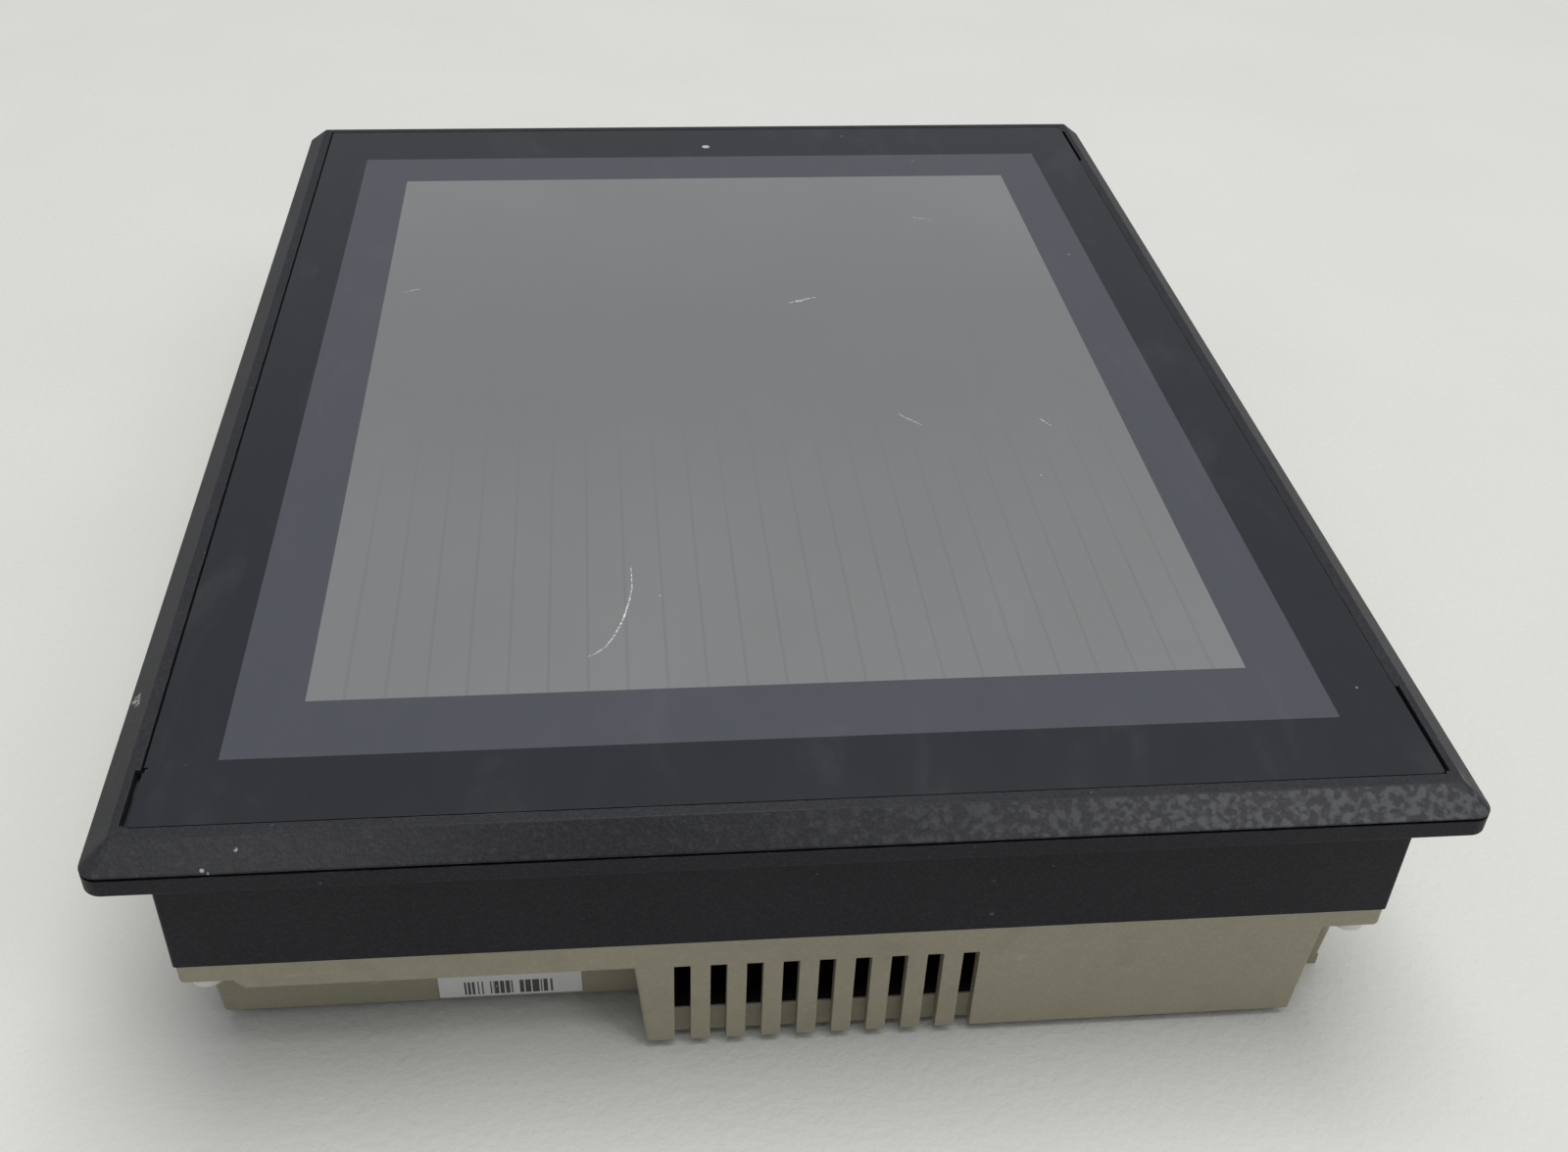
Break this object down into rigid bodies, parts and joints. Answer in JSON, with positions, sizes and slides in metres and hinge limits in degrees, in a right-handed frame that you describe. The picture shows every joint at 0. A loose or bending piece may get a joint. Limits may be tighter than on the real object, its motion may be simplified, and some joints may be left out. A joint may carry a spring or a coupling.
{
  "type": "touch operator terminal",
  "caption": "Panel-mounted touch screen operator terminal with a black bezel and flange, a ventilated beige rear case, a hinged card door and battery cover, and sockets along one side.",
  "frame": {"origin": "under the middle of the terminal, on the plane that its rear pad rests on", "axes": "+Z out of the screen, Y along the long side, X along the short side with the sockets at +X"},
  "size_m": [0.177, 0.232, 0.0485],
  "materials": {
    "black_case": "fine moulded texture",
    "seal_rubber": "matte",
    "front_sheet": "printed matte polyester with a clear window",
    "clear_film": "matte anti-glare film",
    "clear_glass": "clear glass",
    "tape": "foam tape",
    "flat_cable": "amber film",
    "light_pipe": "clear acrylic",
    "led": "tinted epoxy",
    "foam": "closed-cell foam",
    "steel_sheet": "zinc-plated sheet",
    "display_cell": "polariser film",
    "diffuser": "matte film",
    "acrylic": "clear acrylic",
    "lamp_glass": "phosphor-coated tube",
    "white_plastic": "moulded",
    "screw_steel": "zinc-plated",
    "circuit_board": "solder mask",
    "transformer": "taped winding",
    "chip_black": "moulded epoxy",
    "heat_sink_metal": "extruded",
    "capacitor_can": "drawn can",
    "brass_post": "nickel-free brass",
    "socket_black": "moulded",
    "beige_case": "fine moulded texture",
    "battery_sleeve": "shrink sleeve",
    "grey_button": "moulded",
    "switch_body": "moulded",
    "lever_white": "moulded",
    "port_metal": "tin-plated shell",
    "terminal_plastic": "moulded",
    "label_paper": "printed film"
  },
  "bodies": {
    "terminal": {"backlight_lamps": "lamp_glass", "barcode_label": "label_paper", "battery": "battery_sleeve", "battery_clip": "socket_black", "board_capacitors": "capacitor_can", "board_chips": "chip_black", "board_connectors": "white_plastic", "board_screws": "screw_steel", "board_standoffs": "brass_post", "buzzer": "chip_black", "card_socket": "socket_black", "case_screws": "screw_steel", "chassis_plate": "steel_sheet", "chassis_screws": "screw_steel", "diffuser_sheet": "diffuser", "dip_switch_body": "switch_body", "ethernet_jack": "port_metal", "expansion_cover": "beige_case", "expansion_socket": "socket_black", "front_case": "black_case", "heat_sink": "heat_sink_metal", "inverter_board": "circuit_board", "inverter_transformers": "transformer", "lcd_cable": "flat_cable", "lcd_front_frame": "steel_sheet", "lcd_gasket": "foam", "lcd_glass": "display_cell", "lcd_rear_pan": "white_plastic", "led_light_pipe": "light_pipe", "light_guide": "acrylic", "main_board": "circuit_board", "overlay_sheet": "front_sheet", "panel_gasket": "seal_rubber", "port_jackscrews": "screw_steel", "rating_label": "label_paper", "rear_case": "beige_case", "reflector_sheet": "diffuser", "reset_switch": "chip_black", "serial_port_a": "port_metal", "serial_port_b": "port_metal", "status_led": "led", "terminal_block": "terminal_plastic", "terminal_screws": "screw_steel", "touch_film": "clear_film", "touch_glass": "clear_glass", "touch_seal_tape": "tape", "touch_tail": "flat_cable", "usb_host_socket": "port_metal", "usb_slave_socket": "port_metal"},
    "battery_cover": {"battery_cover": "beige_case"},
    "card_door": {"card_door": "beige_case"},
    "eject_button": {"eject_button": "grey_button"},
    "reset_button": {"reset_button": "grey_button"},
    "dip_lever_1": {"dip_lever_1": "lever_white"},
    "dip_lever_2": {"dip_lever_2": "lever_white"},
    "dip_lever_3": {"dip_lever_3": "lever_white"},
    "dip_lever_4": {"dip_lever_4": "lever_white"},
    "dip_lever_5": {"dip_lever_5": "lever_white"},
    "dip_lever_6": {"dip_lever_6": "lever_white"}
  },
  "joints": [
    {"name": "battery_cover_hinge", "type": "hinge", "parent": "terminal", "child": "battery_cover", "pos_m": [-0.0472, 0.081, 0.0027], "axis": [0, -1, 0], "range_deg": [0, 90]},
    {"name": "card_door_hinge", "type": "hinge", "parent": "terminal", "child": "card_door", "pos_m": [-0.013, 0.10855, 0.0084], "axis": [-1, 0, 0], "range_deg": [0, 90]},
    {"name": "eject_button_slide", "type": "slide", "parent": "terminal", "child": "eject_button", "axis": [0, -1, 0], "range_m": [0, 0.004], "stiffness_N_per_m": 200},
    {"name": "reset_button_slide", "type": "slide", "parent": "terminal", "child": "reset_button", "axis": [0, 0, 1], "range_m": [0, 0.0008], "stiffness_N_per_m": 800},
    {"name": "dip_lever_1_slide", "type": "slide", "parent": "terminal", "child": "dip_lever_1", "axis": [0, 1, 0], "range_m": [0, 0.0018]},
    {"name": "dip_lever_2_slide", "type": "slide", "parent": "terminal", "child": "dip_lever_2", "axis": [0, 1, 0], "range_m": [0, 0.0018]},
    {"name": "dip_lever_3_slide", "type": "slide", "parent": "terminal", "child": "dip_lever_3", "axis": [0, 1, 0], "range_m": [0, 0.0018]},
    {"name": "dip_lever_4_slide", "type": "slide", "parent": "terminal", "child": "dip_lever_4", "axis": [0, 1, 0], "range_m": [0, 0.0018]},
    {"name": "dip_lever_5_slide", "type": "slide", "parent": "terminal", "child": "dip_lever_5", "axis": [0, 1, 0], "range_m": [0, 0.0018]},
    {"name": "dip_lever_6_slide", "type": "slide", "parent": "terminal", "child": "dip_lever_6", "axis": [0, 1, 0], "range_m": [0, 0.0018]}
  ]
}
